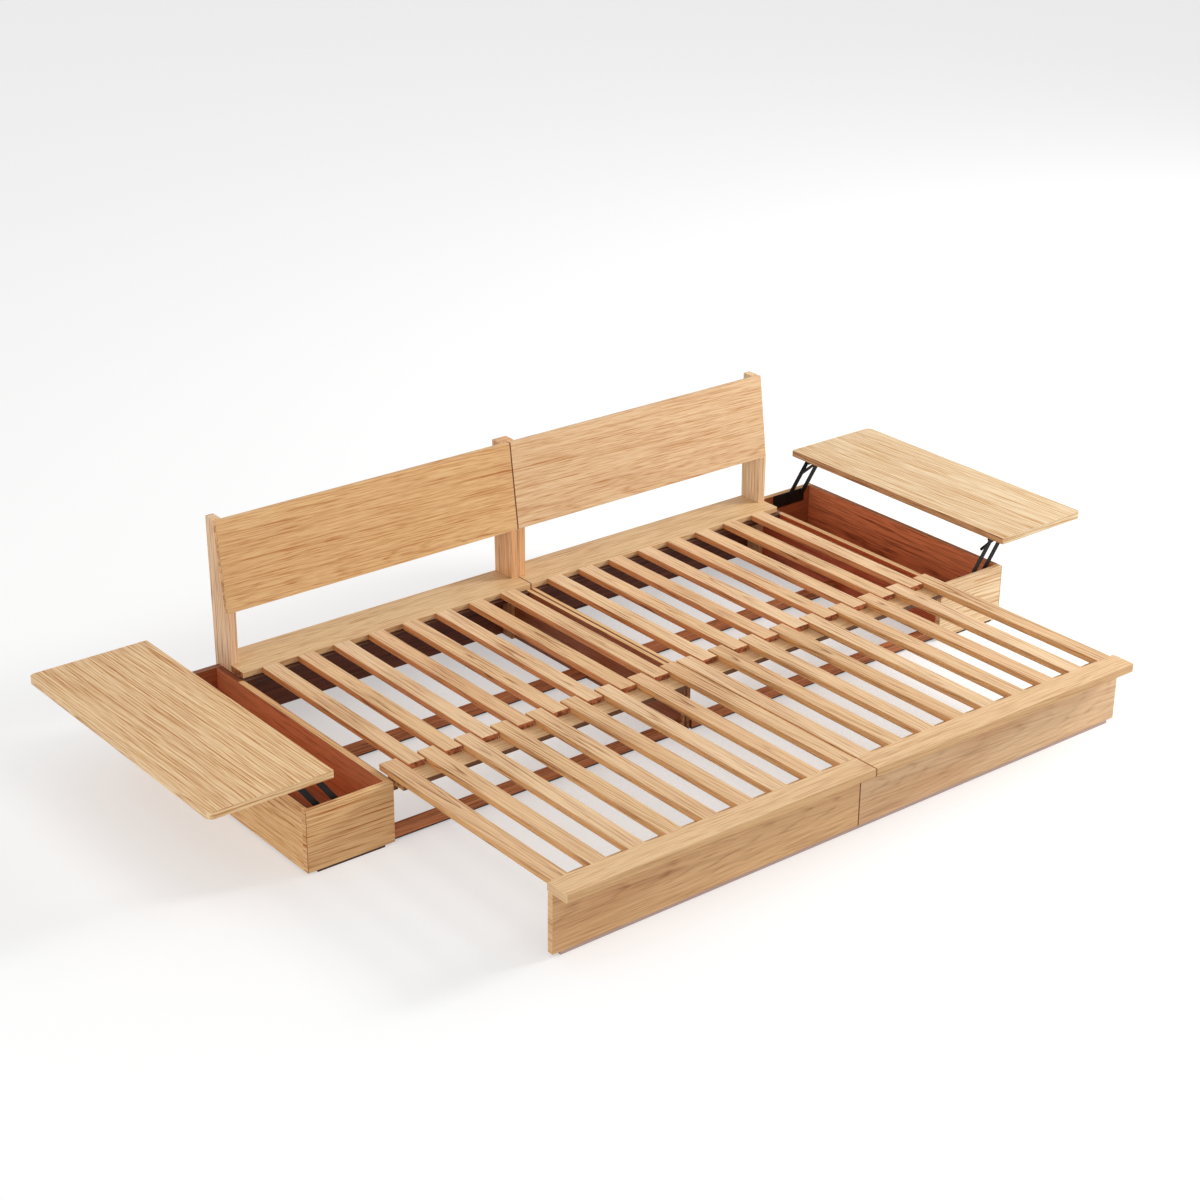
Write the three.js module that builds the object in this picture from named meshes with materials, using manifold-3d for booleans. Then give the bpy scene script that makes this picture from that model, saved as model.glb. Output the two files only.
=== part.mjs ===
// Double sofa bed of solid wood, drawn with both slatted decks pulled out and both lids raised.
// Two mirrored modules meet on the middle line, and a lidded storage box stands at each end.
// Millimetres, +Z up from the floor, the front toward -Y, the middle line at X zero.
import * as THREE from 'three'
import { mergeVertices } from 'three/addons/utils/BufferGeometryUtils.js'
import Module from 'manifold-3d'

const wasm = await Module()
wasm.setup()

// Clearances
const fitGap = 0.3
const runningGap = 0.3
const centreRunningGap = 2
const wallRunningGap = 4
const letIn = 0.2

// Seat and frame of one module
const seatHeight = 200
const moduleWidth = 990
const floorRelief = 5
const reliefStripWidth = 10
const rearBoardDepth = 145
const rearBoardThickness = 18
const centrePanelThickness = 16
const centrePanelSetback = 19
const backPanelThickness = 18
const backPanelInset = 21
const stretcherHeight = 27
const stretcherDepth = 34
const frontStretcherSetback = 10
const middleStretcherReach = 290

// Backrest
const backrestTop = 616
const backrestFoot = 354
const backrestSetback = 62
const backrestLean = 39
const backrestThickness = 16
const postWidth = 25
const postRearLean = 10

// Slatted decks
const slatCount = 17
const slatWidth = 51.6
const slatThickness = 18
const slatMargin = 3.5
const fixedTipSetback = 23
const battenDepth = 14
const battenThickness = 14
const crossRailThickness = 14
const linkRailDepth = 71
const linkRailSetback = 38
const ledgerDepth = 30
const ledgerEndSetback = 26
const runnerWidth = 14
const runnerThickness = 14

// Pull-out front
const tipOverlap = 47
const tipClearance = 15
const closedRailGap = 3
const railOverhang = 10
const railDepth = 75
const railThickness = 23
const railCornerRadius = 5
const apronThickness = 18
const apronSetback = 3
const apronRelief = 10
const apronStripSetback = 1
const apronStripInset = 25

// Storage boxes
const boxFrontReach = 732
const boxBackReach = 130
const sharedWallThickness = 18
const boxInnerWidth = 228
const boxOuterThickness = 16
const boxEndThickness = 18
const boxFloorThickness = 12
const boxRelief = 6
const plinthInset = 30
const plinthSetback = 1

// Lids
const lidWidth = 351
const lidFrontOverhang = 47
const lidThickness = 20
const lidRearOverhang = 25
const lidRailGap = 2
const lidSeatGap = 0.5
const lidOuterRadius = 18
const lidInnerRadius = 4

// Lift mechanisms, each a pair of equal parallel arms
const armLength = 120
const armWidth = 16.5
const armThickness = 3
const armOpenAngle = THREE.MathUtils.degToRad(53.7)
const armSwing = THREE.MathUtils.degToRad(127.8)
const armLayerGap = 0.4
const pivotDrop = 29
const pivotInset = 138.7
const pivotSpacing = 53
const pinRadius = 2.7
const pinClearance = 0.5
const basePlateThickness = 3
const basePlateInnerReach = 70
const basePlateOuterReach = 11
const basePlateRise = 7
const basePlateDepth = 37
const basePlateChamfer = 12
const bracketThickness = 3
const bracketEarRadius = 7.5
const bracketFlangeWidth = 22
const stayWidth = 10
const stayThickness = 3
const stayCatchReach = 90
const stayOverrun = 12
const pinStandOut = 0.5

// Heights and depths that follow
const boardUnderside = seatHeight - rearBoardThickness
const slatUnderside = seatHeight - slatThickness
const frameTop = boardUnderside - fitGap
const moduleStart = fitGap / 2
const sharedWallStart = moduleWidth + fitGap
const boxInnerStart = sharedWallStart + sharedWallThickness
const boxInnerEnd = boxInnerStart + boxInnerWidth
const boxEnd = boxInnerEnd + boxOuterThickness
const boxFrontInside = -boxFrontReach + boxEndThickness
const boxBackInside = boxBackReach - boxEndThickness
const centrePanelReach = boxFrontReach - centrePanelSetback
const frontStretcherReach = boxFrontReach - frontStretcherSetback
const lidFront = -boxFrontReach - lidFrontOverhang
const lidRear = boxBackReach + lidRearOverhang
const boxTop = seatHeight - lidThickness - lidSeatGap
const crossRailUnderside = slatUnderside - crossRailThickness
const railLength = moduleWidth + railOverhang
const fixedSlatLength = boxFrontReach - fixedTipSetback
const travel = fixedSlatLength - tipClearance - tipOverlap
const railRear = -(boxFrontReach + closedRailGap + travel)
const railFront = railRear - railDepth
const pulloutTip = -(tipClearance + travel)
const postRear = rearBoardDepth
const postTopRear = postRear + postRearLean

// Lift geometry that follows: the lid moves along a circle and stays level
const armClosedAngle = armOpenAngle + armSwing
const lidShiftOut = armLength * (Math.cos(armOpenAngle) - Math.cos(armClosedAngle))
const lidShiftUp = armLength * (Math.sin(armOpenAngle) - Math.sin(armClosedAngle))
const lidInnerEdge = railLength + lidRailGap + lidShiftOut
const lidUnderside = seatHeight - lidThickness + lidShiftUp
const pivotHeight = seatHeight - pivotDrop
const innerPivot = boxInnerStart + pivotInset
const tipRise = armLength * Math.sin(armOpenAngle)
const tipOut = armLength * Math.cos(armOpenAngle)

const sides = [['left', -1], ['right', 1]]
const roundSteps = 6
const pinSteps = 20
const axisX = new THREE.Vector3(1, 0, 0)
const axisY = new THREE.Vector3(0, 1, 0)
const axisZ = new THREE.Vector3(0, 0, 1)

// Materials
const lightWood = { color: 0xe0bc8a, roughness: 0.55, metalness: 0 }
const goldenWood = { color: 0xcda06a, roughness: 0.55, metalness: 0 }
const redWood = { color: 0x96502d, roughness: 0.65, metalness: 0 }
const darkStrip = { color: 0x2c211b, roughness: 0.8, metalness: 0 }
const blackSteel = { color: 0x141414, roughness: 0.45, metalness: 0.7 }

function piece(name, look, geometry) {
  const mesh = new THREE.Mesh(geometry, new THREE.MeshStandardMaterial(look))
  mesh.name = name
  return mesh
}

// A rectangular board between two corners, mirrored to the left by a side of -1
function board(name, look, side, [x0, x1], [y0, y1], [z0, z1]) {
  const mesh = piece(name, look, new THREE.BoxGeometry(x1 - x0, y1 - y0, z1 - z0))
  mesh.position.set(side * (x0 + x1) / 2, (y0 + y1) / 2, (z0 + z1) / 2)
  return mesh
}

function boardGeometry(side, [x0, x1], [y0, y1], [z0, z1]) {
  const geometry = new THREE.BoxGeometry(x1 - x0, y1 - y0, z1 - z0)
  return geometry.translate(side * (x0 + x1) / 2, (y0 + y1) / 2, (z0 + z1) / 2)
}

// A closed outline through the points
function outline(points) {
  return new THREE.Shape(points.map(([a, b]) => new THREE.Vector2(a, b)))
}

// An outline whose square corners are rounded by their own radius
function roundedOutline(corners) {
  const shape = new THREE.Shape()
  corners.forEach(([x, y, radius], index) => {
    const corner = new THREE.Vector2(x, y)
    const [before, after] = [corners.at(index - 1), corners[(index + 1) % corners.length]]
    const back = new THREE.Vector2(before[0], before[1]).sub(corner).setLength(radius)
    const ahead = new THREE.Vector2(after[0], after[1]).sub(corner).setLength(radius)
    const centre = corner.clone().add(back).add(ahead)
    const start = corner.clone().add(back)
    if (index === 0) shape.moveTo(start.x, start.y)
    else shape.lineTo(start.x, start.y)
    if (radius > 0) {
      const from = ahead.clone().negate().angle()
      const to = back.clone().negate().angle()
      shape.absarc(centre.x, centre.y, radius, from, to, back.cross(ahead) > 0)
    }
  })
  shape.closePath()
  return shape
}

// An outline of Y and Z, carried along X from zero
function alongX(shape, length) {
  const geometry = new THREE.ExtrudeGeometry(shape, { depth: length, bevelEnabled: false })
  return geometry.applyMatrix4(new THREE.Matrix4().makeBasis(axisY, axisZ, axisX))
}

// An outline of X and Z, carried along Y and centred on Y zero
function alongY(shape, length) {
  const settings = { depth: length, bevelEnabled: false, curveSegments: roundSteps }
  const geometry = new THREE.ExtrudeGeometry(shape, settings).translate(0, 0, -length / 2)
  return geometry.applyMatrix4(new THREE.Matrix4().makeBasis(axisX, axisZ, axisY.clone().negate()))
}

// A plan of X and Y, raised along Z from zero
function alongZ(shape, height) {
  const settings = { depth: height, bevelEnabled: false, curveSegments: roundSteps }
  return new THREE.ExtrudeGeometry(shape, settings)
}

// Closed solids for joining, and back
function toSolid(geometry) {
  const bare = geometry.clone()
  bare.deleteAttribute('normal')
  bare.deleteAttribute('uv')
  const merged = mergeVertices(bare)
  return new wasm.Manifold(new wasm.Mesh({
    numProp: 3,
    vertProperties: merged.attributes.position.array,
    triVerts: new Uint32Array(merged.index.array),
  }))
}

function joined(geometries) {
  const mesh = geometries.map(toSolid).reduce((whole, next) => whole.add(next)).getMesh()
  const geometry = new THREE.BufferGeometry()
  geometry.setAttribute('position', new THREE.BufferAttribute(mesh.vertProperties, 3))
  geometry.setIndex(new THREE.BufferAttribute(mesh.triVerts, 1))
  geometry.computeVertexNormals()
  return geometry
}

// Backrest: a leaning panel let into two posts
function backrest(name, side) {
  const rise = backrestTop - backrestFoot
  const tilt = Math.atan2(backrestLean, rise)
  const height = Math.hypot(backrestLean, rise)
  const panel = piece(`${name}_backrest_panel`, lightWood,
    new THREE.BoxGeometry(moduleWidth - moduleStart, backrestThickness, height)
      .translate(0, backrestThickness / 2, height / 2))
  panel.position.set(side * (moduleStart + moduleWidth) / 2, backrestSetback, backrestFoot)
  panel.rotation.x = -tilt
  const outerPost = piece(`${name}_outer_post`, lightWood, postGeometry(tilt))
  const innerPost = piece(`${name}_inner_post`, lightWood, postGeometry(tilt))
  outerPost.position.x = side > 0 ? moduleWidth - postWidth : -moduleWidth
  innerPost.position.x = side > 0 ? moduleStart : -moduleStart - postWidth
  return [panel, outerPost, innerPost]
}

// One post, notched for the panel and cut level at its top
function postGeometry(tilt) {
  const recess = backrestThickness + fitGap
  const notchFront = backrestFoot - fitGap
  const notchRear = backrestSetback + recess * Math.cos(tilt)
  const notchRearHeight = notchFront - recess * Math.sin(tilt)
  const topFront = notchRear + (backrestTop - notchRearHeight) * Math.tan(tilt)
  return alongX(outline([
    [backrestSetback, 0],
    [backrestSetback, notchFront],
    [notchRear, notchRearHeight],
    [topFront, backrestTop],
    [postTopRear, backrestTop],
    [postRear, seatHeight],
    [postRear, 0],
  ]), postWidth)
}

// Rear board, notched at both rear corners for the posts
function rearBoard(name, side) {
  const notchWidth = postWidth + fitGap
  const notchFront = backrestSetback - fitGap
  const plan = outline([
    [side * moduleStart, 0],
    [side * moduleWidth, 0],
    [side * moduleWidth, notchFront],
    [side * (moduleWidth - notchWidth), notchFront],
    [side * (moduleWidth - notchWidth), rearBoardDepth],
    [side * (moduleStart + notchWidth), rearBoardDepth],
    [side * (moduleStart + notchWidth), notchFront],
    [side * moduleStart, notchFront],
  ])
  const mesh = piece(`${name}_rear_board`, lightWood, alongZ(plan, rearBoardThickness))
  mesh.position.z = boardUnderside
  return mesh
}

// Panel on the middle line, standing on a narrower strip
function centrePanel(name, side) {
  const stripStart = (centrePanelThickness - reliefStripWidth) / 2
  const section = outline([
    [side * moduleStart, floorRelief],
    [side * stripStart, floorRelief],
    [side * stripStart, 0],
    [side * (stripStart + reliefStripWidth), 0],
    [side * (stripStart + reliefStripWidth), floorRelief],
    [side * centrePanelThickness, floorRelief],
    [side * centrePanelThickness, frameTop],
    [side * moduleStart, frameTop],
  ])
  const rear = backrestSetback - fitGap
  const mesh = piece(`${name}_centre_panel`, goldenWood, alongY(section, centrePanelReach + rear))
  mesh.position.y = (rear - centrePanelReach) / 2
  return mesh
}

// Back panel between the posts, and the two stretchers near the floor
function frameMembers(name, side) {
  const betweenPosts = [moduleStart + postWidth + fitGap, moduleWidth - postWidth - fitGap]
  const betweenSides = [centrePanelThickness + fitGap, sharedWallStart - fitGap]
  const backRear = rearBoardDepth - backPanelInset
  const stretcherZ = [floorRelief, floorRelief + stretcherHeight]
  return [
    board(`${name}_back_panel`, redWood, side, betweenPosts,
      [backRear - backPanelThickness, backRear], [floorRelief, frameTop]),
    board(`${name}_front_stretcher`, redWood, side, betweenSides,
      [-frontStretcherReach, -frontStretcherReach + stretcherDepth], stretcherZ),
    board(`${name}_middle_stretcher`, redWood, side, betweenSides,
      [-middleStretcherReach, -middleStretcherReach + stretcherDepth], stretcherZ),
  ]
}

// Slat places: odd ones slide, even ones stay
function slatSpan(index) {
  const pitch = (moduleWidth - 2 * slatMargin - slatWidth) / (slatCount - 1)
  const start = slatMargin + index * pitch
  return [start, start + slatWidth]
}

function slatIndices(first) {
  const indices = []
  for (let index = first; index < slatCount; index += 2) indices.push(index)
  return indices
}

// Fixed slats on the batten under their rear ends, where each keeps a heel
// Past the heel the underside is higher, so that the link rail can run below it
function fixedSlats(name, side) {
  const underside = slatUnderside + letIn + runningGap
  const battenTop = slatUnderside - runningGap
  const overBatten = [-battenDepth, -fitGap]
  const slats = slatIndices(1).flatMap((index) => [
    boardGeometry(side, slatSpan(index), [-fixedSlatLength, -fitGap], [underside, seatHeight]),
    boardGeometry(side, slatSpan(index), overBatten, [battenTop - letIn, underside + letIn]),
  ])
  const batten = boardGeometry(side, [centrePanelThickness + fitGap, sharedWallStart - fitGap],
    overBatten, [battenTop - battenThickness, battenTop])
  return piece(`${name}_fixed_slats`, lightWood, joined([...slats, batten]))
}

// Sliding slats, joined by the link rail near their rear tips and the ledger behind the front rail
// The ledger stops under the last slat, short of the link rail's end
function slidingSlats(name, side) {
  const slats = slatIndices(0).map((index) => boardGeometry(side, slatSpan(index),
    [railRear + fitGap, pulloutTip], [slatUnderside, seatHeight]))
  const linkStart = centrePanelThickness + centreRunningGap
  const linkEnd = sharedWallStart - wallRunningGap
  const railZ = [crossRailUnderside, slatUnderside + letIn]
  const linkRear = pulloutTip - linkRailSetback
  const link = boardGeometry(side, [linkStart, linkEnd], [linkRear - linkRailDepth, linkRear], railZ)
  const ledgerFront = railRear + fitGap
  const ledger = boardGeometry(side, [linkStart, linkEnd - ledgerEndSetback],
    [ledgerFront, ledgerFront + ledgerDepth], railZ)
  return piece(`${name}_sliding_slats`, lightWood, joined([...slats, link, ledger]))
}

// Batten on the shared wall that carries the sliding deck's outer end
function runner(name, side) {
  const top = crossRailUnderside - runningGap
  return board(`${name}_runner`, redWood, side,
    [sharedWallStart - fitGap - runnerWidth, sharedWallStart - fitGap],
    [-boxFrontReach + fitGap, -battenDepth - fitGap], [top - runnerThickness, top])
}

// Front rail with one rounded corner at its outer end
function frontRail(name, side) {
  const plan = roundedOutline([
    [side * moduleStart, railRear, 0],
    [side * moduleStart, railFront, 0],
    [side * railLength, railFront, railCornerRadius],
    [side * railLength, railRear, 0],
  ])
  const mesh = piece(`${name}_front_rail`, lightWood, alongZ(plan, railThickness))
  mesh.position.z = seatHeight - railThickness
  return mesh
}

// Apron under the front rail, on a narrower strip that stops short of its outer end
function apron(name, side) {
  const rear = railRear - apronSetback
  const front = rear - apronThickness
  const stripFront = front + apronStripSetback
  const panel = boardGeometry(side, [moduleStart, railLength], [front, rear],
    [apronRelief, seatHeight - railThickness - fitGap])
  const strip = boardGeometry(side, [moduleStart, railLength - apronStripInset],
    [stripFront, stripFront + reliefStripWidth], [0, apronRelief + letIn])
  return piece(`${name}_apron`, goldenWood, joined([panel, strip]))
}

// Storage box of four walls, a floor and a recessed plinth
function storageBox(name, side) {
  const wallZ = [boxRelief, boxTop]
  const betweenEnds = [boxFrontInside + fitGap, boxBackInside - fitGap]
  const insideX = [boxInnerStart + fitGap, boxInnerEnd - fitGap]
  const endX = [sharedWallStart, boxEnd]
  return [
    board(`${name}_box_front`, lightWood, side, endX, [-boxFrontReach, boxFrontInside], wallZ),
    board(`${name}_box_back`, lightWood, side, endX, [boxBackInside, boxBackReach], wallZ),
    board(`${name}_shared_wall`, lightWood, side, [sharedWallStart, boxInnerStart],
      betweenEnds, wallZ),
    board(`${name}_box_outer_wall`, lightWood, side, [boxInnerEnd, boxEnd], betweenEnds, wallZ),
    board(`${name}_box_floor`, redWood, side, insideX, betweenEnds,
      [boxRelief, boxRelief + boxFloorThickness]),
    board(`${name}_box_plinth`, darkStrip, side,
      [sharedWallStart + plinthInset, boxEnd - plinthInset],
      [-boxFrontReach + plinthSetback, boxBackReach - plinthSetback],
      [0, boxRelief - fitGap]),
  ]
}

// Lid with rounded corners, larger at its outer edge
function lid(name, side) {
  const outer = lidInnerEdge + lidWidth
  const plan = roundedOutline([
    [side * lidInnerEdge, lidFront, lidInnerRadius],
    [side * outer, lidFront, lidOuterRadius],
    [side * outer, lidRear, lidOuterRadius],
    [side * lidInnerEdge, lidRear, lidInnerRadius],
  ])
  const mesh = piece(`${name}_lid`, lightWood, alongZ(plan, lidThickness))
  mesh.position.z = lidUnderside
  return mesh
}

// Lift mechanism at one end of a box, in flat layers from the wall inward
function liftMechanism(name, side, end, wallFace, inward) {
  const prefix = `${name}_${end}`
  const layer = (depth) => wallFace + inward * depth
  const innerArmStart = basePlateThickness + armLayerGap
  const outerArmStart = innerArmStart + armThickness + armLayerGap
  const bracketStart = outerArmStart + armThickness + armLayerGap
  const stayStart = bracketStart + bracketThickness + armLayerGap
  const layers = { layer, innerArmStart, outerArmStart, bracketStart, stayStart }
  return [
    basePlate(prefix, side, layers),
    liftArm(`${prefix}_inner_arm`, side, innerPivot, layer(innerArmStart + armThickness / 2)),
    liftArm(`${prefix}_outer_arm`, side, innerPivot + pivotSpacing,
      layer(outerArmStart + armThickness / 2)),
    lidBracket(prefix, side, layers),
    stay(prefix, side, layer(stayStart + stayThickness / 2)),
  ]
}

// Plate screwed to the box wall, with a pin for each arm
function basePlate(prefix, side, { layer, outerArmStart }) {
  const inner = -basePlateInnerReach
  const outer = pivotSpacing + basePlateOuterReach
  const bottom = -basePlateDepth
  const plate = alongY(outline([
    [side * inner, basePlateRise],
    [side * inner, bottom + basePlateChamfer],
    [side * (inner + basePlateChamfer), bottom],
    [side * outer, bottom],
    [side * outer, basePlateRise],
  ]), basePlateThickness).translate(0, layer(basePlateThickness / 2), 0)
  const innerPin = pin(0, 0, layer(basePlateThickness / 2), layer(outerArmStart - armLayerGap))
  const outerPin = pin(side * pivotSpacing, 0, layer(basePlateThickness / 2),
    layer(outerArmStart + armThickness))
  const mesh = piece(`${prefix}_base_plate`, blackSteel, joined([plate, innerPin, outerPin]))
  mesh.position.set(side * innerPivot, 0, pivotHeight)
  return mesh
}

// A round pin along Y between two depths
function pin(x, z, start, finish) {
  const length = Math.abs(finish - start)
  return new THREE.CylinderGeometry(pinRadius, pinRadius, length, pinSteps)
    .translate(x, (start + finish) / 2, z)
}

// A flat bar with round ends and a hole over each pivot, along +X from its first pivot
function barGeometry(length, width, thickness, holes) {
  const shape = new THREE.Shape()
  shape.absarc(0, 0, width / 2, Math.PI / 2, -Math.PI / 2, false)
  shape.absarc(length, 0, width / 2, -Math.PI / 2, Math.PI / 2, false)
  for (const place of holes) {
    shape.holes.push(new THREE.Path().absarc(place, 0, pinRadius + pinClearance, 0, 2 * Math.PI))
  }
  return alongY(shape, thickness)
}

// One lift arm, turned up from its base pivot to the open angle
function liftArm(name, side, pivot, depth) {
  const mesh = piece(name, blackSteel,
    barGeometry(armLength, armWidth, armThickness, [0, armLength]))
  mesh.position.set(side * pivot, depth, pivotHeight)
  mesh.rotation.y = side > 0 ? -armOpenAngle : armOpenAngle - Math.PI
  return mesh
}

// Angle bracket under the lid, with a pin for each arm tip and the stay
function lidBracket(prefix, side, layers) {
  const { layer, innerArmStart, outerArmStart, bracketStart, stayStart } = layers
  const top = lidUnderside - fitGap - pivotHeight - tipRise
  const radius = bracketEarRadius
  const web = roundedOutline([
    [-side * radius, top, 0],
    [-side * radius, -radius, radius],
    [side * (pivotSpacing + radius), -radius, radius],
    [side * (pivotSpacing + radius), top, 0],
  ])
  const webMiddle = bracketStart + bracketThickness / 2
  const plate = alongY(web, bracketThickness).translate(0, layer(webMiddle), 0)
  const flange = new THREE.BoxGeometry(pivotSpacing + 2 * radius, bracketFlangeWidth, bracketThickness)
    .translate(side * pivotSpacing / 2, layer(bracketStart + bracketFlangeWidth / 2),
      top - bracketThickness / 2)
  const innerPin = pin(0, 0, layer(innerArmStart), layer(webMiddle))
  const outerPin = pin(side * pivotSpacing, 0, layer(outerArmStart),
    layer(stayStart + stayThickness + pinStandOut))
  const mesh = piece(`${prefix}_lid_bracket`, blackSteel,
    joined([plate, flange, innerPin, outerPin]))
  mesh.position.set(side * (innerPivot + tipOut), 0, pivotHeight + tipRise)
  return mesh
}

// Stay on the outer arm's tip pin, reaching across the inner arm when open
function stay(prefix, side, depth) {
  const catchX = stayCatchReach * Math.cos(armOpenAngle) - pivotSpacing - tipOut
  const catchZ = stayCatchReach * Math.sin(armOpenAngle) - tipRise
  const length = Math.hypot(catchX, catchZ) + stayOverrun
  const angle = Math.atan2(catchZ, side * catchX)
  const mesh = piece(`${prefix}_stay`, blackSteel,
    barGeometry(length, stayWidth, stayThickness, [0]))
  mesh.position.set(side * (innerPivot + pivotSpacing + tipOut), depth, pivotHeight + tipRise)
  mesh.rotation.y = -angle
  return mesh
}

function moduleParts(name, side) {
  return [
    ...backrest(name, side),
    rearBoard(name, side),
    centrePanel(name, side),
    ...frameMembers(name, side),
    fixedSlats(name, side),
    runner(name, side),
    slidingSlats(name, side),
    frontRail(name, side),
    apron(name, side),
  ]
}

function boxParts(name, side) {
  return [
    ...storageBox(name, side),
    lid(name, side),
    ...liftMechanism(name, side, 'front', boxFrontInside, 1),
    ...liftMechanism(name, side, 'rear', boxBackInside, -1),
  ]
}

// The whole, centred in depth over the floor
const sofaBed = new THREE.Group()
sofaBed.name = 'sofa_bed'
sofaBed.position.y = -(railFront + postTopRear) / 2
for (const [name, side] of sides) {
  sofaBed.add(...moduleParts(name, side), ...boxParts(name, side))
}

export default sofaBed
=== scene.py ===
# The looks of a double slatted sofa bed: oak boards and slats, black lift arms, pale studio floor.
# Metres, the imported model's own frame, the front toward -Y.
import math

import bmesh
import bpy
from mathutils import Euler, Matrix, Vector


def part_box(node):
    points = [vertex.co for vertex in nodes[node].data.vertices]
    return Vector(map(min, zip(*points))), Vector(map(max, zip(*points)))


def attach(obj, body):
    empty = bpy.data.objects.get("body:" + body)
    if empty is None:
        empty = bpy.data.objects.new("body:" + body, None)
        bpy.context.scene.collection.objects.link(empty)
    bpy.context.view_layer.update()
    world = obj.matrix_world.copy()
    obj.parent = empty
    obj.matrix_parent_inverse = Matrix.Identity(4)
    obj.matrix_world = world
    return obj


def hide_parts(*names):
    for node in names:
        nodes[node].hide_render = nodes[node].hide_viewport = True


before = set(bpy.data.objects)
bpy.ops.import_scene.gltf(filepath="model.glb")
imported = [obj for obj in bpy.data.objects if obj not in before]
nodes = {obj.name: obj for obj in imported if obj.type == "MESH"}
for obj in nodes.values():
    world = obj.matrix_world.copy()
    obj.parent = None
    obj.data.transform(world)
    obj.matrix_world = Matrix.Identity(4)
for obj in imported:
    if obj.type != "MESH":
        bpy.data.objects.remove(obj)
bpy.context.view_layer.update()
SIDES = (("left", -1), ("right", 1))

# Camera and light
CAMERA_PLACE = (-3.94422, -4.56909, 3.12244)
CAMERA_TURN = (1.143898, -0.009277, -0.674277)
CAMERA_LENS = 72.284
WORLD_STRENGTH, WORLD_SEEN = 0.62, 0.86
KEY_POWER, KEY_SIZE, KEY_PLACE = 255, 1.3, (6.0, -2.2, 3.4)
FRONT_POWER, FRONT_SIZE, FRONT_PLACE = 120, 3.0, (5.6, -0.8, 3.4)
LEFT_POWER, LEFT_SIZE, LEFT_PLACE = 86, 3.0, (-6.5, -1.5, 2.4)
AIM = (0, -0.1, 0.2)
FLOOR_REACH = 40
FLOOR_TRUE, FLOOR_SEEN, FLOOR_GLOW = 0.8, 0.60, 0.435

# Patterns of the wood: waves per metre along and across the grain, and a shift between them
BROAD_SWAY, SMALL_SWAY = (1.1, 3.0, 0.0), (4.0, 14.0, 2.0)
RING_WAVES, RING_RIPPLES = (1.4, 9.0, 21.0), (7.0, 70.0, 23.0)
ARCH_BREAKS, LINE_BREAKS = (4.5, 110.0, 25.0), (5.0, 40.0, 13.0)
STREAKS, PORES, LINES = (3.8, 260.0, 3.0), (16.0, 400.0, 9.0), (0.8, 42.0, 6.0)
CLOUDS, BLOTCHES = (1.6, 8.0, 11.0), 75.0
STEEL_SPECKLE, STEEL_WEAR, STRIP_SPECKLE = 900.0, 60.0, 500.0
BANDS_ALONG, BANDS_OUTWARD = 0.8, 45.0
RINGS_PER_METRE = 115.0
FAR_HEART, SLOPE = (0.10, -0.20), 0.03
RUN_SHIFT, DEEP_SHIFT, RING_SHIFT = 3.17, 7.3, 4.7
BASE_DEPTH = 0.06
# Reddish clouds in the wood, and the colour of the painted edge highlight
BLUSH_LIGHT, BLUSH_DARK, EDGE_HIGHLIGHT = "cf9560", "8f532c", "f2d3a4"
PER_CENTIMETRE = 100.0

# How far the patterns bend: the grain's sway in metres, and the growth rings in rings
BROAD_REACH, SMALL_REACH, FINE_GRAIN_SHARE = 0.030, 0.006, 0.6
WAVE_HEIGHT, RIPPLE_HEIGHT = 3.0, 0.8
FLAME_ARCHES, FLAME_SHADE = 1.5, 0.10

# Masks: stops of a value and the strength there
RING_PROFILE = ((0.0, 0.5), (0.08, 0.0), (0.70, 0.0), (0.92, 1.0), (1.0, 0.5))
STREAK_MASK, PORE_MASK = ((0.51, 0.0), (0.60, 1.0)), ((0.50, 0.0), (0.62, 1.0))
LINE_MASK = ((0.47, 0.0), (0.49, 1.0), (0.51, 1.0), (0.53, 0.0))
ARCH_BREAK_MASK, LINE_BREAK_MASK = ((0.40, 0.1), (0.58, 1.0)), ((0.40, 0.15), (0.62, 1.0))
CLOUD_MASK, BLOTCH_MASK = ((0.50, 0.0), (0.74, 1.0)), ((0.40, 0.0), (0.62, 1.0))
END_MASK, UPWARD_MASK = ((0.60, 0.0), (0.80, 1.0)), ((0.3, 0.0), (0.6, 1.0))
EDGE_MASK, MITRE_MASK = ((0.22, 0.0), (0.45, 0.55)), ((0.10, 1.0), (0.20, 0.0))
SIDE_BEGINS, SIDE_FULL = 0.55, 0.85

# Surface of the wood: roughness of the plain wood, of streaks and of pores, then gloss and relief
PLAIN_ROUGH, STREAK_ROUGH, PORE_ROUGH = 0.44, 0.12, 0.10
WOOD_GLOSS, WOOD_RELIEF, WOOD_RELIEF_DEPTH = 0.32, 0.4, 0.0004

# Edges
WELD_DISTANCE = 0.00002
EASED_ANGLE = math.radians(30)
STRIP_EDGE, STEEL_EDGE = 0.0005, 0.0004


def linear(hex_colour):
    """A colour written as six sRGB digits, as the shader's linear numbers."""
    parts = [int(hex_colour[i:i + 2], 16) / 255 for i in (0, 2, 4)]
    return tuple(p / 12.92 if p <= 0.04045 else ((p + 0.055) / 1.055) ** 2.4 for p in parts) + (1,)


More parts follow.
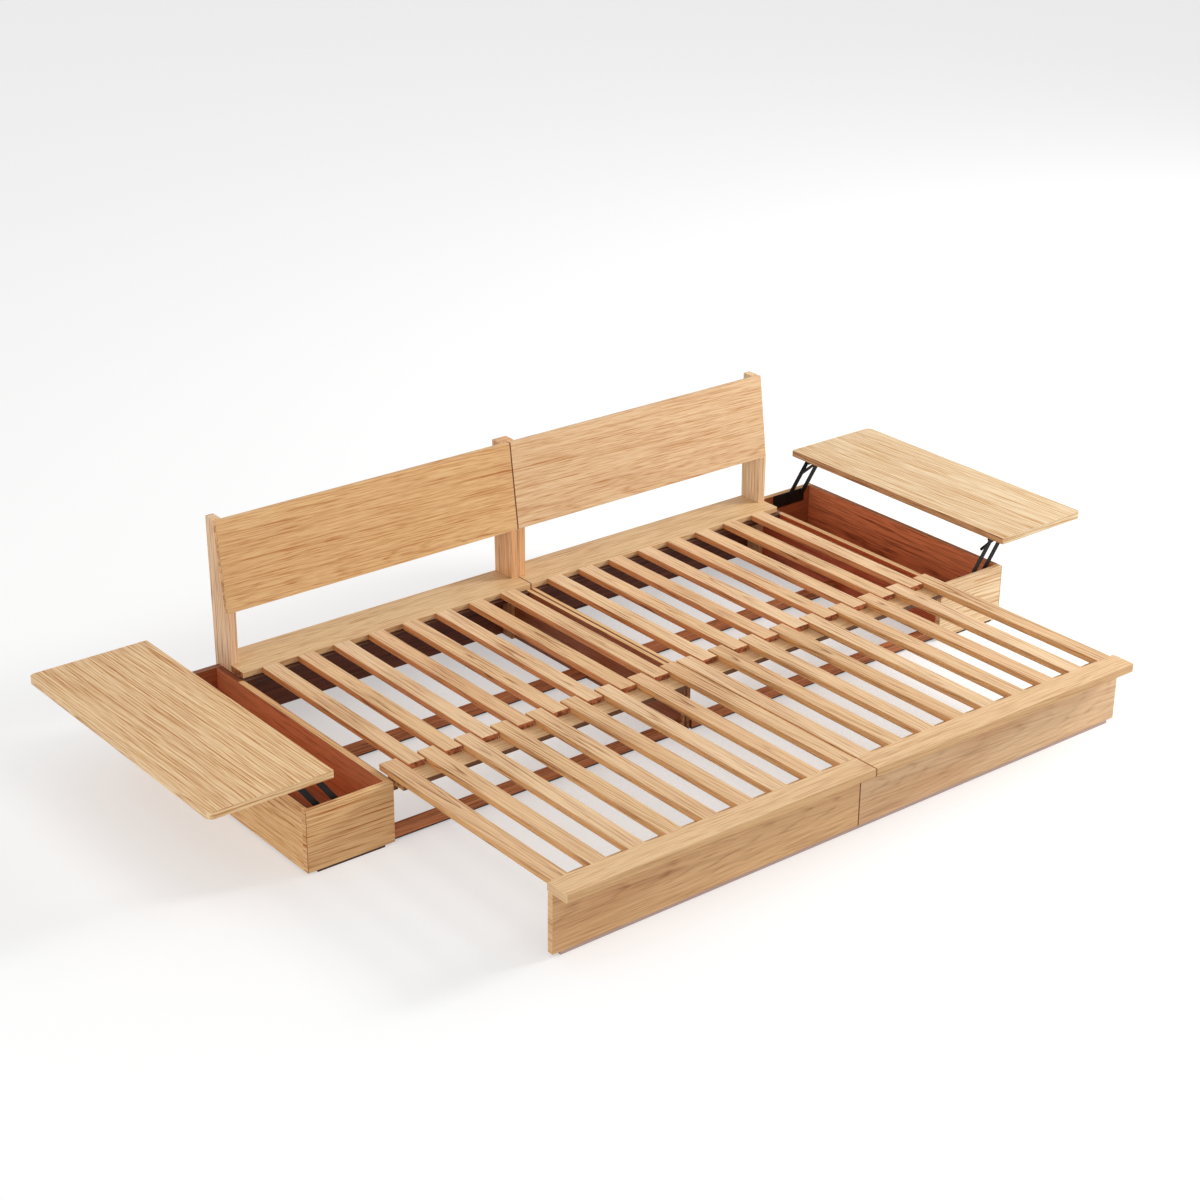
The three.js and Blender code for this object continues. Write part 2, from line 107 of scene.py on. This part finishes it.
class Nodes:
    """Short calls for making a material's nodes."""

    def __init__(self, name):
        self.material = bpy.data.materials.new(name)
        self.material.use_nodes = True
        self.tree = self.material.node_tree
        self.shader = self.tree.nodes["Principled BSDF"]
        self.coordinates = self.tree.nodes.new("ShaderNodeTexCoord")

    def join(self, value, socket):
        if isinstance(value, bpy.types.NodeSocket):
            self.tree.links.new(value, socket)
        else:
            socket.default_value = value

    def math(self, operation, *values):
        node = self.tree.nodes.new("ShaderNodeMath")
        node.operation = operation
        for value, socket in zip(values, node.inputs):
            self.join(value, socket)
        return node.outputs[0]

    def vector(self, x, y, z):
        node = self.tree.nodes.new("ShaderNodeCombineXYZ")
        for value, socket in zip((x, y, z), node.inputs):
            self.join(value, socket)
        return node.outputs[0]

    def parts(self, vector):
        node = self.tree.nodes.new("ShaderNodeSeparateXYZ")
        self.join(vector, node.inputs[0])
        return node.outputs

    def scaled(self, factor):
        """The place on the object, times a number."""
        place = self.parts(self.coordinates.outputs["Object"])
        return self.vector(*[self.math("MULTIPLY", part, factor) for part in place])

    def noise(self, vector, detail=2.0, roughness=0.5):
        node = self.tree.nodes.new("ShaderNodeTexNoise")
        self.join(vector, node.inputs["Vector"])
        node.inputs["Scale"].default_value = 1.0
        node.inputs["Detail"].default_value = detail
        node.inputs["Roughness"].default_value = roughness
        return node.outputs["Fac"]

    def ramp(self, value, stops, smooth=False):
        node = self.tree.nodes.new("ShaderNodeValToRGB")
        self.join(value, node.inputs[0])
        ramp = node.color_ramp
        ramp.interpolation = "EASE" if smooth else "LINEAR"
        while len(ramp.elements) < len(stops):
            ramp.elements.new(0.5)
        for element, (place, shade) in zip(ramp.elements, stops):
            element.position = place
            element.color = (shade, shade, shade, 1)
        return node.outputs[0]

    def mix(self, factor, first, second):
        node = self.tree.nodes.new("ShaderNodeMix")
        node.data_type = "RGBA"
        self.join(factor, node.inputs[0])
        self.join(first, node.inputs[6])
        self.join(second, node.inputs[7])
        return node.outputs[2]

    def bump(self, height, strength, distance):
        node = self.tree.nodes.new("ShaderNodeBump")
        node.inputs["Strength"].default_value = strength
        node.inputs["Distance"].default_value = distance
        self.join(height, node.inputs["Height"])
        self.tree.links.new(node.outputs[0], self.shader.inputs["Normal"])


def paint_face_shade(n, tint, depth, normal, face_shade):
    """Gives faces that look one way a light and a dark colour: painted shade on faces turned from the light,
    and inside the boxes partly the wood's own redder tone.
    """
    for direction, pale, deepest, strength in face_shade:
        facing = normal["XYZ".index(direction[-1])]
        if direction[0] == "-":
            facing = n.math("MULTIPLY", facing, -1.0)
        elif len(direction) == 1:
            facing = n.math("ABSOLUTE", facing)
        seen = n.ramp(facing, ((SIDE_BEGINS, 0.0), (SIDE_FULL, strength)))
        tint = n.mix(seen, tint, n.mix(depth, linear(pale), linear(deepest)))
    return tint


def painted_edge_highlight(n, tint, normal, cloud):
    """Lightens the edges, where the normal lies between two axes, as a painted highlight."""
    corners = [n.math("ABSOLUTE", n.math("MULTIPLY", normal[first], normal[second]))
               for first, second in ((0, 1), (1, 2), (0, 2))]
    corner = n.math("MAXIMUM", n.math("MAXIMUM", corners[0], corners[1]), corners[2])
    highlight = n.math("MULTIPLY", n.ramp(corner, EDGE_MASK), n.math("MULTIPLY_ADD", cloud, 1.2, 0.2))
    return n.mix(highlight, tint, linear(EDGE_HIGHLIGHT))


def marks(n, tint, depth, place, normal, seam, mitre, dusk, sole_and_shade):
    """Draws the joint on the middle line, a corner joint, deep shade, and a band along the bottom: painted
    contact shade under the stretchers, the strip's own colour under the apron.
    """
    x, y, z = place
    if seam:
        reach, colour = seam
        off = n.math("MULTIPLY", n.math("ABSOLUTE", x), PER_CENTIMETRE)
        near = n.ramp(off, ((reach * 0.6, 0.95), (reach, 0.0)))
        tint = n.mix(near, tint, linear(colour))
    if mitre:
        joint, colour = mitre
        off = n.math("ABSOLUTE", n.math("SUBTRACT", n.math("ABSOLUTE", x), joint))
        near = n.ramp(n.math("MULTIPLY", off, PER_CENTIMETRE), MITRE_MASK)
        near = n.math("MULTIPLY", near, n.math("ABSOLUTE", normal["Y"]))
        tint = n.mix(near, tint, linear(colour))
    if dusk:
        begins, pale, deepest = dusk
        behind = n.math("MULTIPLY", n.math("GREATER_THAN", y, begins), n.ramp(normal["Z"], UPWARD_MASK))
        tint = n.mix(behind, tint, n.mix(depth, linear(pale), linear(deepest)))
    if sole_and_shade:
        height, colour = sole_and_shade
        tint = n.mix(n.math("LESS_THAN", z, height), tint, linear(colour))
    return tint


def wood(name, grain, seed, light, dark, heart=FAR_HEART, lean=0.0, lean_from=0.0, slope=SLOPE,
         bands=0.08, arches=0.42, streaks=0.26, pores=0.11, lines=0.25, blush=0.25, face_shade=(),
         ends=("c08a58", "7a4a28"), turned=False, seam=None, sole_and_shade=None, mitre=None, dusk=None,
         taper=0.0, wrap=None, flame=None):
    """Sawn oak with the grain along one axis.

    light, dark: the two colours of the wood.
    heart: the tree's middle line across the board. The broad grain follows circles round it.
    lean, lean_from: how far that line tilts along the board, which draws long arches.
    slope: how far the fine grain runs off the board's own line.
    bands, arches, streaks, pores, lines, blush: the strengths of broad bands, growth rings, fine
        dark streaks, short pores, single long lines and reddish clouds.
    face_shade: faces with a colour of their own, such as "-Y" for one side or "X" for both, each with
        its light colour, dark colour and strength: painted shade on faces turned from the light, and
        inside the boxes partly the wood's redder tone.
    ends, turned: the colours of end grain, or long grain laid across the ends instead.
    seam: the reach in centimetres and the colour of the joint on the middle line.
    sole_and_shade: the height and the colour of a band along the bottom: painted contact shade under a
    stretcher, the colour of the strip underneath the apron.
    mitre: the place and the colour of a corner joint.
    dusk: the place along Y behind which a board is in deep shade, and its two colours there.
    taper: how the growth rings narrow along the board, which draws pointed arches.
    wrap: the first edge, pitch and width of a row of slats that have a middle line each.
    flame: the place and the reach along the board of stronger arches.
    """
    n = Nodes(name)
    place = n.coordinates.outputs["Object"]
    normal = n.parts(n.coordinates.outputs["Normal"])
    x, y, z = n.parts(place)
    at_end = n.ramp(n.math("ABSOLUTE", normal["XYZ".index(grain)]), END_MASK)
    order = {"X": (x, z, y), "Y": (y, x, z), "Z": (z, x, y)}[grain]
    if turned:
        across_ends = {"X": (y, z, x), "Y": (x, z, y), "Z": (x, y, z)}[grain]
        order = n.parts(n.mix(at_end, n.vector(*order), n.vector(*across_ends)))
    along, across, deep = order
    run = n.math("ADD", along, seed * RUN_SHIFT)
    slanted = n.math("MULTIPLY_ADD", along, slope, across)

    def field(per_along, per_across, shift, detail=2.0, side=slanted):
        """Noise with this many waves per metre along and across the grain."""
        return n.noise(n.vector(n.math("MULTIPLY", run, per_along), n.math("MULTIPLY", side, per_across),
                                n.math("MULTIPLY_ADD", deep, per_across, seed * DEEP_SHIFT + shift)), detail)

    def centred(value, strength):
        return n.math("MULTIPLY", n.math("SUBTRACT", value, 0.5), strength)

    sway = n.math("ADD", centred(field(*BROAD_SWAY), BROAD_REACH), centred(field(*SMALL_SWAY), SMALL_REACH))
    wavy = n.math("ADD", slanted, n.math("MULTIPLY", sway, FINE_GRAIN_SHARE))
    beside = across
    if wrap:
        first_edge, pitch, width = wrap
        part = n.math("DIVIDE", n.math("SUBTRACT", n.math("ABSOLUTE", across), first_edge), pitch)
        beside = n.math("MULTIPLY_ADD", n.math("FRACT", part), pitch, -width / 2)
    off_across = n.math("ADD", n.math("SUBTRACT", beside, heart[0]), sway)
    off_deep = n.math("ADD", n.math("SUBTRACT", deep, heart[1]),
                      n.math("MULTIPLY_ADD", n.math("SUBTRACT", along, lean_from), lean, sway))
    ring = n.math("SQRT", n.math("ADD", n.math("MULTIPLY", off_across, off_across),
                                 n.math("MULTIPLY", off_deep, off_deep)))
    ring = n.math("MULTIPLY_ADD", along, taper, ring)

    band = n.noise(n.vector(n.math("MULTIPLY", run, BANDS_ALONG), n.math("MULTIPLY", ring, BANDS_OUTWARD),
                            seed * RING_SHIFT))
    phase = n.math("ADD", n.math("MULTIPLY", ring, RINGS_PER_METRE),
                   n.math("ADD", centred(field(*RING_WAVES), WAVE_HEIGHT),
                          centred(field(*RING_RIPPLES), RIPPLE_HEIGHT)))
    arch = n.ramp(n.math("FRACT", phase), RING_PROFILE)
    arch = n.math("MULTIPLY", arch, n.ramp(field(*ARCH_BREAKS), ARCH_BREAK_MASK))
    streak = n.ramp(field(*STREAKS, detail=1.0, side=wavy), STREAK_MASK)
    pore = n.ramp(field(*PORES, detail=1.0, side=wavy), PORE_MASK)
    line = n.ramp(field(*LINES, detail=1.0, side=wavy), LINE_MASK)
    line = n.math("MULTIPLY", line, n.ramp(field(*LINE_BREAKS), LINE_BREAK_MASK))
    cloud = field(*CLOUDS)

    depth = n.math("MULTIPLY_ADD", n.math("SUBTRACT", band, 0.5), bands * 2.0, BASE_DEPTH)
    layers = [(arch, arches), (streak, streaks), (pore, pores), (line, lines)]
    if flame:
        away = n.math("ABSOLUTE", n.math("DIVIDE", n.math("SUBTRACT", along, flame[0]), flame[1]))
        near_flame = n.ramp(away, ((0.0, 1.0), (1.0, 0.0)), smooth=True)
        layers += [(n.math("MULTIPLY", arch, near_flame), arches * FLAME_ARCHES), (near_flame, FLAME_SHADE)]
    for value, strength in layers:
        depth = n.math("MULTIPLY_ADD", value, strength, depth)
    depth.node.use_clamp = True
    tint = n.mix(depth, linear(light), linear(dark))
    red = n.math("MULTIPLY", n.ramp(cloud, CLOUD_MASK), blush)
    tint = n.mix(red, tint, n.mix(depth, linear(BLUSH_LIGHT), linear(BLUSH_DARK)))
    if not turned:
        blotch = n.ramp(n.noise(n.scaled(BLOTCHES), detail=3.0, roughness=0.6), BLOTCH_MASK)
        tint = n.mix(at_end, tint, n.mix(blotch, linear(ends[0]), linear(ends[1])))
    tint = paint_face_shade(n, tint, depth, normal, face_shade)
    tint = painted_edge_highlight(n, tint, normal, cloud)
    tint = marks(n, tint, depth, (x, y, z), normal, seam, mitre, dusk, sole_and_shade)
    n.join(tint, n.shader.inputs["Base Color"])
    rough = n.math("ADD", n.math("MULTIPLY_ADD", streak, STREAK_ROUGH, PLAIN_ROUGH),
                   n.math("MULTIPLY", pore, PORE_ROUGH))
    n.join(rough, n.shader.inputs["Roughness"])
    n.shader.inputs["Specular IOR Level"].default_value = WOOD_GLOSS
    hollow = n.math("MULTIPLY", n.math("ADD", n.math("ADD", streak, pore), line), -0.33)
    n.bump(hollow, WOOD_RELIEF, WOOD_RELIEF_DEPTH)
    return n.material


def black_steel(name):
    """Black paint with a fine speckle, a little worn."""
    n = Nodes(name)
    speck = n.noise(n.scaled(STEEL_SPECKLE))
    wear = n.ramp(n.noise(n.scaled(STEEL_WEAR), detail=4.0), ((0.45, 0.0), (0.75, 1.0)))
    n.join(n.mix(wear, linear("0b0b0b"), linear("181614")), n.shader.inputs["Base Color"])
    n.join(n.math("MULTIPLY_ADD", speck, 0.18, 0.46), n.shader.inputs["Roughness"])
    n.shader.inputs["Specular IOR Level"].default_value = 0.28
    n.bump(speck, 0.25, 0.0002)
    return n.material


def dark_strip(name):
    """The dull brown of the strip under a storage box."""
    n = Nodes(name)
    speck = n.noise(n.scaled(STRIP_SPECKLE))
    n.join(n.mix(speck, linear("3a1e14"), linear("55301f")), n.shader.inputs["Base Color"])
    n.join(n.math("MULTIPLY_ADD", speck, 0.2, 0.7), n.shader.inputs["Roughness"])
    n.bump(speck, 0.3, 0.0003)
    return n.material


def dress(obj, material):
    """Gives every slot of an object this material."""
    if not obj.material_slots:
        obj.data.materials.append(material)
    for slot in obj.material_slots:
        slot.material = material


def soften(obj, width, segments=2):
    """Welds the imported corners and eases the edges."""
    weld = obj.modifiers.new("weld", "WELD")
    weld.merge_threshold = WELD_DISTANCE
    bevel = obj.modifiers.new("ease", "BEVEL")
    bevel.width = width
    bevel.segments = segments
    bevel.limit_method = "ANGLE"
    bevel.angle_limit = EASED_ANGLE
    bevel.harden_normals = True


# Boards: grain axis, edge radius, and how their wood is drawn, with painted shade on faces turned from the
# light
RED_WOOD = dict(light="cf8252", dark="5c2a12", bands=0.6, arches=0.45, streaks=0.30, pores=0.2,
                lines=0.2, blush=0.0, ends=("8a4a2a", "4a2412"))
# Inside faces of the boxes: the wood's own redder tone there, with painted shade, deeper on the inside of the
# back board
IN_BOX = ("ea8e5e", "984f2c", 1.0)
IN_BOX_REAR = ("b4683f", "6e381e", 1.0)
BOARDS = {
    "backrest_panel": ("X", 0.0007, dict(light="eac38c", dark="b06214", heart=(0.372, 0.772), lean=0.055,
                                         lean_from=0.62, blush=0.25, bands=0.12, arches=0.34,
                                         streaks=0.27, pores=0.27, lines=0.28, seam=(0.28, "6a2a08"),
                                         ends=("e8b880", "b07a48"))),
    "outer_post": ("Z", 0.0007, dict(light="fcd8ae", dark="945c34", heart=(0.80, 0.62), bands=0.30,
                                     lines=0.45, turned=True)),
    "inner_post": ("Z", 0.0007, dict(light="f0bb88", dark="885426", heart=(0.20, 0.60), bands=0.30,
                                     lines=0.45, turned=True)),
    "rear_board": ("X", 0.0014, dict(light="e5c08e", dark="9c6432", heart=(0.10, 0.95), seam=(0.28, "7a4a28"),
                                     ends=("b87a4c", "8a5030"))),
    "centre_panel": ("Y", 0.0008, dict(light="eac08a", dark="a06a38", seam=(0.42, "6a3410"),
                                       face_shade=(("X", "a8582e", "652b0a", 0.9),))),
    # The back panel is painted dark brown, as painted shade behind the slats and under the rear board
    "back_panel": ("X", 0.0012, dict(RED_WOOD, light="7a4028", dark="3a1c10", heart=(0.1, 0.6))),
    # The stretchers' lowest 9.5 mm are painted near black, as painted contact shade along the floor
    "front_stretcher": ("X", 0.0010, dict(RED_WOOD, heart=(0.05, -0.3), sole_and_shade=(0.0095, "34140a"))),
    "middle_stretcher": ("X", 0.0010, dict(RED_WOOD, heart=(0.05, 0.1), sole_and_shade=(0.0095, "34140a"))),
    "runner": ("Y", 0.0008, RED_WOOD),
    "front_rail": ("X", 0.0014, dict(light="eac596", dark="a66c3c", heart=(0.05, -1.05), arches=0.26,
                                     blush=0.20, seam=(0.28, "8c4818"), turned=True,
                                     face_shade=(("-Y", "e0b580", "965e2e", 0.9),))),
    "apron": ("X", 0.0012, dict(light="ebbf8b", dark="965e32", heart=(0.115, -0.86), lean=0.06, lean_from=0.1,
                                blush=0.50, arches=0.30, streaks=0.20, bands=0.12, seam=(0.28, "8c4818"),
                                turned=True, sole_and_shade=(0.0101, "c0a69c"))),
    "box_front": ("X", 0.0012, dict(light="f1c78e", dark="b06014", bands=0.12, arches=0.63, streaks=0.39,
                                    pores=0.17, lines=0.38, heart=(0.02, -0.16), lean=0.03, lean_from=1.2,
                                    turned=True, mitre=(1.2515, "a26c38"), face_shade=(("+Y", *IN_BOX),))),
    "box_back": ("X", 0.0012, dict(light="e4b67e", dark="8c5828", heart=(0.05, 0.9), turned=True,
                                   face_shade=(("-Y", *IN_BOX_REAR),))),
    "shared_wall": ("Y", 0.0012, dict(light="e6b882", dark="8e5a2a", heart=(0.80, 0.03), turned=True,
                                      dusk=(0.646, "92502e", "552a16"))),
    "box_outer_wall": ("Y", 0.0012, dict(light="f4cc91", dark="b46418", bands=0.12, arches=0.63, streaks=0.39,
                                         pores=0.17, lines=0.38, heart=(1.02, 0.03), turned=True)),
    "box_floor": ("Y", 0.0008, dict(RED_WOOD, light="b86a40")),
    "lid": ("Y", 0.0020, dict(light="f2d0a1", dark="b06c18", heart=(0.98, 0.16), arches=0.78, bands=0.15,
                              streaks=0.39, pores=0.17, lines=0.38,
                              blush=0.15, turned=True)),
}
# Boards of the right half, painted paler as painted light, since more light falls on the right half
RIGHT_HALF_LIT = {"backrest_panel": ("eccca2", "b46e1c"), "apron": ("edc89c", "a4744a"), "lid": ("e7d0aa", "b27420"),
        "box_front": ("fae1ba", "be8030"), "outer_post": ("f2d0a6", "a06e40")}

# Faces painted darker on one half only, as painted shade where they lie in shade on that half
OUTSIDE = {
    "left_shared_wall": (("-X", "ea9768", "985634", 1.0),),
    "right_shared_wall": (("-X", "d0683c", "803414", 1.0),),
    "right_box_outer_wall": (("+Z", "a8683f", "6a3a20", 0.9),),
    "right_lid": (("-X", "cf9a68", "8e5c34", 0.8),),
    "left_box_back": (("-Y", *IN_BOX_REAR), ("+Z", "9a5a38", "5a2e1a", 0.9)),
}

SEED_STEP = 0.83
seed = 1.0
for side_name, side in SIDES:
    for piece_name, (grain, edge, look) in BOARDS.items():
        node_name = f"{side_name}_{piece_name}"
        look = dict(look)
        if side > 0 and piece_name in RIGHT_HALF_LIT:
            look["light"], look["dark"] = RIGHT_HALF_LIT[piece_name]
        heart = look.pop("heart", FAR_HEART)
        if grain != "X":  # the middle line's first number is then a place along X
            heart = (side * heart[0], heart[1])
        look["lean_from"] = side * look.get("lean_from", 0.0)
        if piece_name in ("shared_wall", "box_outer_wall"):
            toward = side if piece_name == "shared_wall" else -side
            look["face_shade"] = (("+X" if toward > 0 else "-X", *IN_BOX),) + OUTSIDE.get(node_name, ())
        elif node_name in OUTSIDE:
            look["face_shade"] = OUTSIDE[node_name]
        node = nodes[node_name]
        dress(node, wood(f"wood_{node_name}", grain, seed, heart=heart, **look))
        soften(node, edge)
        seed += SEED_STEP
    strip = nodes[f"{side_name}_box_plinth"]
    dress(strip, dark_strip(f"strip_{side_name}"))
    soften(strip, STRIP_EDGE)

steel = black_steel("black_steel_satin")
for side_name, side in SIDES:
    for end in ("front", "rear"):
        for piece_name in ("base_plate", "inner_arm", "outer_arm", "lid_bracket", "stay"):
            node = nodes[f"{side_name}_{end}_{piece_name}"]
            dress(node, steel)
            soften(node, STEEL_EDGE, segments=1)


# Slatted decks: each slat, cross rail and batten a board of its own
def plank(name, low, high, edge, body, material, stands_for=None):
    """An eased board between two corners, which rides on a body."""
    low, high = Vector(low), Vector(high)
    mesh = bpy.data.meshes.new(name)
    bm = bmesh.new()
    corners = [bm.verts.new((x, y, z))
               for x in (low.x, high.x) for y in (low.y, high.y) for z in (low.z, high.z)]
    for face in ((0, 1, 3, 2), (4, 6, 7, 5), (0, 4, 5, 1), (2, 3, 7, 6), (0, 2, 6, 4), (1, 5, 7, 3)):
        bm.faces.new([corners[i] for i in face])
    bmesh.ops.recalc_face_normals(bm, faces=bm.faces)
    bmesh.ops.bevel(bm, geom=list(bm.edges), offset=edge, segments=2, profile=0.6, affect="EDGES")
    for face in bm.faces:
        face.smooth = False
    bm.to_mesh(mesh)
    bm.free()
    obj = bpy.data.objects.new(name, mesh)
    bpy.context.scene.collection.objects.link(obj)
    mesh.materials.append(material)
    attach(obj, body)
    if stands_for:
        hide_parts(stands_for)


SLAT_COUNT, SLAT_WIDTH, SLAT_MARGIN, MODULE_WIDTH = 17, 0.0516, 0.0035, 0.990
SLAT_TOP, SLAT_EDGE = 0.200, 0.0018
SLIDING_UNDERSIDE, FIXED_UNDERSIDE = 0.182, 0.1822
RAIL_UNDERSIDE, RAIL_TOP = 0.168, 0.1819
BATTEN_UNDERSIDE, BATTEN_TOP = 0.1677, 0.1817
CROSS_RAIL_ENDS, LEDGER_SHORTER, BATTEN_ENDS = (0.018, 0.9863), 0.026, (0.0163, 0.9900)
LINK_INSET, LINK_DEPTH, LEDGER_DEPTH, BATTEN_DEPTH = 0.038, 0.071, 0.030, 0.014
CROSS_RAIL_EDGE = 0.0012
PITCH = (MODULE_WIDTH - 2 * SLAT_MARGIN - SLAT_WIDTH) / (SLAT_COUNT - 1)
FIXED_SEED, SLIDING_SEED, SLAT_SEED_STEP = 40, 71, 3.7
CROSS_RAIL_SEED, BATTEN_SEED, SIDE_SEED_STEP = 80, 90, 4
PICK_STEP, RIGHT_PICK = 3, 5

# Light and dark colour, middle line and taper of each sort of slat
SLAT_LOOKS = (
    ("eec89a", "96602f", (0.000, 0.208), 0.026), ("f0cda2", "9e6836", (0.005, 0.214), 0.020),
    ("eac292", "8e5a2c", (-0.004, 0.206), 0.030), ("eec99c", "986232", (0.003, 0.212), 0.024),
    ("ecc596", "945e2f", (-0.006, 0.216), 0.022), ("f1d0a6", "a26c3c", (0.002, 0.207), 0.028),
    ("ebc294", "925c2e", (-0.002, 0.210), 0.025),
)
# Each slat's flanks are painted darker, as painted shade between the slats
slat_woods = {
    kind: [wood(f"wood_{kind}_slat_{i + 1}", "Y", start + SLAT_SEED_STEP * i, light=light, dark=dark,
                heart=heart, taper=taper * way, flame=flame, wrap=(SLAT_MARGIN, PITCH, SLAT_WIDTH),
                slope=SLOPE * (-1) ** i, blush=0.35, face_shade=(("X", *flank),), ends=("b87048", "6e3820"))
           for i, (light, dark, heart, taper) in enumerate(SLAT_LOOKS)]
    for kind, start, way, flame, flank in (
        ("fixed", FIXED_SEED, 1, (0.30, 0.16), ("dd8f52", "884c24", 0.9)),
        ("sliding", SLIDING_SEED, -1, (-0.19, 0.18), ("e5ae71", "946237", 0.9)),
    )
}

for side_name, side in SIDES:
    for kind, first, body, underside in (
        ("sliding", 0, f"{side_name}_deck", SLIDING_UNDERSIDE),
        ("fixed", 1, "frame", FIXED_UNDERSIDE),
    ):
        node_name = f"{side_name}_{kind}_slats"
        low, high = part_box(node_name)
        for index in range(first, SLAT_COUNT, 2):
            start = SLAT_MARGIN + index * PITCH
            x0, x1 = sorted((side * start, side * (start + SLAT_WIDTH)))
            pick = index * PICK_STEP + (RIGHT_PICK if side > 0 else 0)
            material = slat_woods[kind][pick % len(SLAT_LOOKS)]
            plank(f"{node_name}_{index + 1}", (x0, low.y, underside), (x1, high.y, SLAT_TOP),
                  SLAT_EDGE, body, material, node_name)
    low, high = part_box(f"{side_name}_sliding_slats")
    near, far = CROSS_RAIL_ENDS
    # The cross rails' front faces are painted dark, as painted shade under the slats
    rail_wood = wood(f"wood_{side_name}_cross_rail", "X", CROSS_RAIL_SEED + side * SIDE_SEED_STEP,
                     light="e8c190", dark="9c6636", face_shade=(("-Y", "6a3c20", "3e2010", 0.9),))
    # The rear battens are painted near black, as painted shade under the rear board
    batten_wood = wood(f"wood_{side_name}_batten", "X", BATTEN_SEED + side * SIDE_SEED_STEP,
                       **dict(RED_WOOD, light="5a3020", dark="2e160c"))
    link_rear = high.y - LINK_INSET
    x0, x1 = sorted((side * near, side * far))
    plank(f"{side_name}_link_rail", (x0, link_rear - LINK_DEPTH, RAIL_UNDERSIDE), (x1, link_rear, RAIL_TOP),
          CROSS_RAIL_EDGE, f"{side_name}_deck", rail_wood)
    x0, x1 = sorted((side * near, side * (far - LEDGER_SHORTER)))
    plank(f"{side_name}_front_ledger", (x0, low.y, RAIL_UNDERSIDE), (x1, low.y + LEDGER_DEPTH, RAIL_TOP),
          CROSS_RAIL_EDGE, f"{side_name}_deck", rail_wood)
    low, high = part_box(f"{side_name}_fixed_slats")
    x0, x1 = sorted(side * end for end in BATTEN_ENDS)
    plank(f"{side_name}_rear_batten", (x0, high.y - BATTEN_DEPTH, BATTEN_UNDERSIDE), (x1, high.y, BATTEN_TOP),
          CROSS_RAIL_EDGE, "frame", batten_wood)


# Camera
camera_data = bpy.data.cameras.new("camera")
camera_data.lens = CAMERA_LENS
camera_data.sensor_width = 36
camera_data.clip_end = 200
camera = bpy.data.objects.new("camera", camera_data)
camera.location = CAMERA_PLACE
camera.rotation_euler = Euler(CAMERA_TURN)
bpy.context.scene.collection.objects.link(camera)
bpy.context.scene.camera = camera


# Floor and light
def shown(tree):
    """1 for rays that show a surface straight, in gloss or through glass, and 0 for the rest."""
    path = tree.nodes.new("ShaderNodeLightPath")
    value = path.outputs["Is Camera Ray"]
    for ray in ("Is Glossy Ray", "Is Transmission Ray"):
        either = tree.nodes.new("ShaderNodeMath")
        either.operation = "MAXIMUM"
        tree.links.new(value, either.inputs[0])
        tree.links.new(path.outputs[ray], either.inputs[1])
        value = either.outputs[0]
    return value


def studio_floor():
    """A pale floor that looks white to the camera and still holds the object's shadow."""
    mesh = bpy.data.meshes.new("floor")
    bm = bmesh.new()
    bmesh.ops.create_grid(bm, x_segments=8, y_segments=8, size=FLOOR_REACH)
    bm.to_mesh(mesh)
    bm.free()
    floor = bpy.data.objects.new("floor", mesh)
    bpy.context.scene.collection.objects.link(floor)
    n = Nodes("floor_white")
    n.shader.inputs["Roughness"].default_value = 0.8
    n.shader.inputs["Specular IOR Level"].default_value = 0.1
    seen = shown(n.tree)
    true_grey, seen_grey = [(shade, shade, shade, 1) for shade in (FLOOR_TRUE, FLOOR_SEEN)]
    n.join(n.mix(seen, true_grey, seen_grey), n.shader.inputs["Base Color"])
    n.shader.inputs["Emission Color"].default_value = (1, 1, 1, 1)
    n.join(n.math("MULTIPLY", seen, FLOOR_GLOW), n.shader.inputs["Emission Strength"])
    dress(floor, n.material)


def softbox(name, power, size, place):
    """A square lamp that faces the object."""
    data = bpy.data.lights.new(name, "AREA")
    data.energy = power
    data.shape = "SQUARE"
    data.size = size
    light = bpy.data.objects.new(name, data)
    light.location = place
    light.rotation_euler = (Vector(AIM) - Vector(place)).to_track_quat("-Z", "Y").to_euler()
    bpy.context.scene.collection.objects.link(light)


studio_floor()
softbox("key", KEY_POWER, KEY_SIZE, KEY_PLACE)
softbox("front", FRONT_POWER, FRONT_SIZE, FRONT_PLACE)
softbox("left", LEFT_POWER, LEFT_SIZE, LEFT_PLACE)

world = bpy.data.worlds.new("studio")
world.use_nodes = True
backdrop = world.node_tree.nodes["Background"]
backdrop.inputs["Color"].default_value = (1, 1, 1, 1)
glow = world.node_tree.nodes.new("ShaderNodeMath")
glow.operation = "MULTIPLY_ADD"
world.node_tree.links.new(shown(world.node_tree), glow.inputs[0])
glow.inputs[1].default_value = WORLD_SEEN - WORLD_STRENGTH
glow.inputs[2].default_value = WORLD_STRENGTH
world.node_tree.links.new(glow.outputs[0], backdrop.inputs["Strength"])
bpy.context.scene.world = world
bpy.context.scene.view_settings.view_transform = "Standard"
